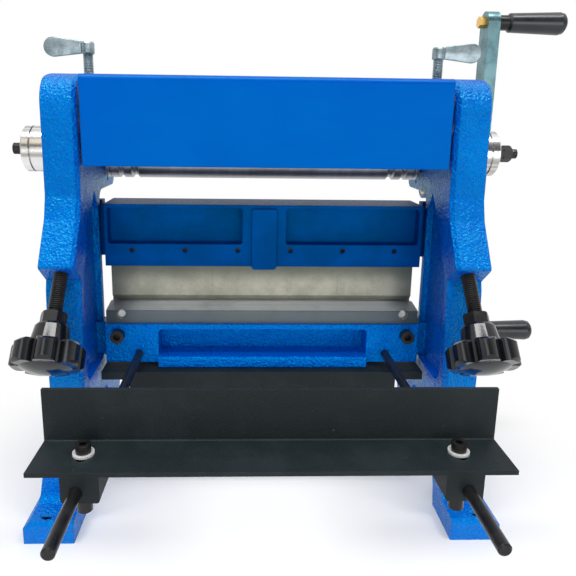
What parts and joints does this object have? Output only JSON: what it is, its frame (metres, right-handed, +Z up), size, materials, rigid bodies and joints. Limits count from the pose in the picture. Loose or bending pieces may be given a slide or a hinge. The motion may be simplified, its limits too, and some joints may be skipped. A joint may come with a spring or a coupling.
{
  "type": "slip roll machine",
  "caption": "Bench-top sheet-metal machine that shears, folds and rolls: blue cast side frames carry slip rolls, a folding ram, a back gauge and a double-ended crank.",
  "frame": {"origin": "centre of the four foot bolt holes, at bench level", "axes": "+X to the crank side, +Y from the back gauge towards the far side, +Z up"},
  "size_m": [0.532, 0.377, 0.4812],
  "materials": {
    "blue_paint": "glossy enamel over a pebbly casting",
    "sheet_blue": "glossy enamel on smooth sheet",
    "black_oxide": "black oxide",
    "black_paint": "matt textured black paint",
    "ground_steel": "ground, lightly oiled",
    "polished_steel": "turned and polished",
    "zinc": "bright zinc plate",
    "gear_steel": "cut steel with grease",
    "bronze": "sintered bronze",
    "brass": "bright brass",
    "black_knob": "moulded, glossy",
    "black_grip": "moulded, glossy"
  },
  "bodies": {
    "frame": {"right_side_frame": "blue_paint", "left_side_frame": "blue_paint", "top_cover": "sheet_blue", "cover_brackets": "zinc", "bracket_screws": "black_oxide", "cover_screws": "black_oxide", "roll_bushes": "bronze", "lower_shear_blade": "ground_steel", "lower_die_left": "ground_steel", "lower_die_right": "ground_steel", "bed": "blue_paint", "bed_bolts": "black_oxide", "bed_screws": "black_oxide", "support_bar": "black_paint", "gauge_rods": "black_oxide"},
    "crank": {"crank_shaft": "ground_steel", "crank_pinion": "gear_steel", "crank_arm": "zinc", "crank_bolt": "zinc", "grip_pins": "black_oxide", "grip_nuts": "brass"},
    "upper_grip": {"grip_upper": "black_grip"},
    "lower_grip": {"grip_lower": "black_grip"},
    "lower_roll": {"lower_pinch_roll": "ground_steel", "driven_gear": "gear_steel", "lower_pinch_gear": "gear_steel"},
    "upper_bearing_left": {"upper_block_left": "gear_steel"},
    "upper_bearing_right": {"upper_block_right": "gear_steel"},
    "upper_roll": {"upper_pinch_roll": "ground_steel", "upper_pinch_gear": "gear_steel"},
    "thumb_left": {"thumb_screw_left": "zinc"},
    "thumb_right": {"thumb_screw_right": "zinc"},
    "bending_carriage": {"bending_axle": "ground_steel", "bending_blocks": "gear_steel"},
    "bending_sleeve": {"bending_roll": "ground_steel"},
    "adjuster_left": {"adjusting_screw_left": "black_oxide", "lock_nut_left": "black_oxide", "star_knob_left": "black_knob"},
    "adjuster_right": {"adjusting_screw_right": "black_oxide", "lock_nut_right": "black_oxide", "star_knob_right": "black_knob"},
    "ram_beam": {"ram": "blue_paint", "ram_hangers": "gear_steel", "hanger_screws": "black_oxide", "die_clamp_screws": "black_oxide", "finger_die_102": "ground_steel", "finger_dies_76": "ground_steel", "finger_die_51": "ground_steel", "upper_shear_blade": "ground_steel", "upper_blade_screws": "black_oxide"},
    "drive_left": {"ram_crank_left": "polished_steel"},
    "drive_right": {"ram_crank_right": "polished_steel", "drive_nut": "black_oxide"},
    "gauge": {"gauge_blocks": "black_paint", "gauge_angle": "black_paint", "gauge_washers": "zinc", "gauge_screws": "black_oxide"},
    "gauge_lock_left": {"lock_screw_left": "black_oxide"},
    "gauge_lock_right": {"lock_screw_right": "black_oxide"}
  },
  "joints": [
    {"name": "crank_spin", "type": "hinge", "parent": "frame", "child": "crank", "pos_m": [0.2, 0.07559, 0.30349], "axis": [1, 0, 0], "continuous": true},
    {"name": "upper_grip_spin", "type": "hinge", "parent": "crank", "child": "upper_grip", "pos_m": [0.26, 0.07559, 0.46999], "axis": [1, 0, 0], "continuous": true},
    {"name": "lower_grip_spin", "type": "hinge", "parent": "crank", "child": "lower_grip", "pos_m": [0.26, 0.07559, 0.13699], "axis": [1, 0, 0], "continuous": true},
    {"name": "lower_roll_spin", "type": "hinge", "parent": "frame", "child": "lower_roll", "pos_m": [0, 0.05, 0.3255], "axis": [1, 0, 0], "continuous": true},
    {"name": "upper_lift_left", "type": "slide", "parent": "frame", "child": "upper_bearing_left", "axis": [0, 0, 1], "range_m": [0, 0.003]},
    {"name": "upper_lift_right", "type": "slide", "parent": "frame", "child": "upper_bearing_right", "axis": [0, 0, 1], "range_m": [0, 0.003]},
    {"name": "upper_roll_spin", "type": "hinge", "parent": "upper_bearing_left", "child": "upper_roll", "pos_m": [0, 0.05, 0.3559], "axis": [1, 0, 0], "continuous": true},
    {"name": "thumb_screw_left_turn", "type": "hinge", "parent": "upper_bearing_left", "child": "thumb_left", "pos_m": [-0.173, 0.05, 0.4], "axis": [0, 0, 1], "range_deg": [0, 720.5]},
    {"name": "thumb_screw_right_turn", "type": "hinge", "parent": "upper_bearing_right", "child": "thumb_right", "pos_m": [0.173, 0.05, 0.4], "axis": [0, 0, 1], "range_deg": [0, 720.5]},
    {"name": "bending_slide", "type": "slide", "parent": "frame", "child": "bending_carriage", "axis": [0, 0.6293, 0.7771], "range_m": [-0.012, 0.004]},
    {"name": "bending_roll_spin", "type": "hinge", "parent": "bending_carriage", "child": "bending_sleeve", "pos_m": [0, 0.016, 0.3482], "axis": [1, 0, 0], "continuous": true},
    {"name": "adjuster_left_turn", "type": "hinge", "parent": "bending_carriage", "child": "adjuster_left", "pos_m": [-0.173, 0.016, 0.3482], "axis": [0, 0.6293, 0.7771], "range_deg": [-2469.5, 823.5]},
    {"name": "adjuster_right_turn", "type": "hinge", "parent": "bending_carriage", "child": "adjuster_right", "pos_m": [0.173, 0.016, 0.3482], "axis": [0, 0.6293, 0.7771], "range_deg": [-2469.5, 823.5]},
    {"name": "ram_slide", "type": "slide", "parent": "frame", "child": "ram_beam", "axis": [0, 0, 1], "range_m": [0, 0.0104]},
    {"name": "drive_left_turn", "type": "hinge", "parent": "frame", "child": "drive_left", "pos_m": [-0.2, -0.025, 0.3415], "axis": [1, 0, 0], "range_deg": [0, 120.5]},
    {"name": "drive_right_turn", "type": "hinge", "parent": "frame", "child": "drive_right", "pos_m": [0.2, -0.025, 0.3415], "axis": [1, 0, 0], "range_deg": [0, 120.5]},
    {"name": "gauge_slide", "type": "slide", "parent": "frame", "child": "gauge", "axis": [0, 1, 0], "range_m": [-0.045, 0.03]},
    {"name": "gauge_lock_left_turn", "type": "hinge", "parent": "gauge", "child": "gauge_lock_left", "pos_m": [-0.122, -0.21, 0.13], "axis": [0, 0, 1], "range_deg": [-360, 0]},
    {"name": "gauge_lock_right_turn", "type": "hinge", "parent": "gauge", "child": "gauge_lock_right", "pos_m": [0.122, -0.21, 0.13], "axis": [0, 0, 1], "range_deg": [-360, 0]}
  ],
  "couplings": [
    {"joint": "lower_roll_spin", "follows": "crank_spin", "ratio": -0.5},
    {"joint": "upper_roll_spin", "follows": "crank_spin", "ratio": 0.5},
    {"joint": "upper_lift_right", "follows": "upper_lift_left", "ratio": 1},
    {"joint": "thumb_screw_left_turn", "follows": "upper_lift_left", "rad_per_m": 4188.8},
    {"joint": "thumb_screw_right_turn", "follows": "upper_lift_left", "rad_per_m": 4188.8},
    {"joint": "adjuster_left_turn", "follows": "bending_slide", "rad_per_m": 3590.4},
    {"joint": "adjuster_right_turn", "follows": "bending_slide", "rad_per_m": 3590.4},
    {"joint": "drive_left_turn", "follows": "ram_slide", "rad_per_m": 201.63},
    {"joint": "drive_right_turn", "follows": "ram_slide", "rad_per_m": 201.63}
  ]
}
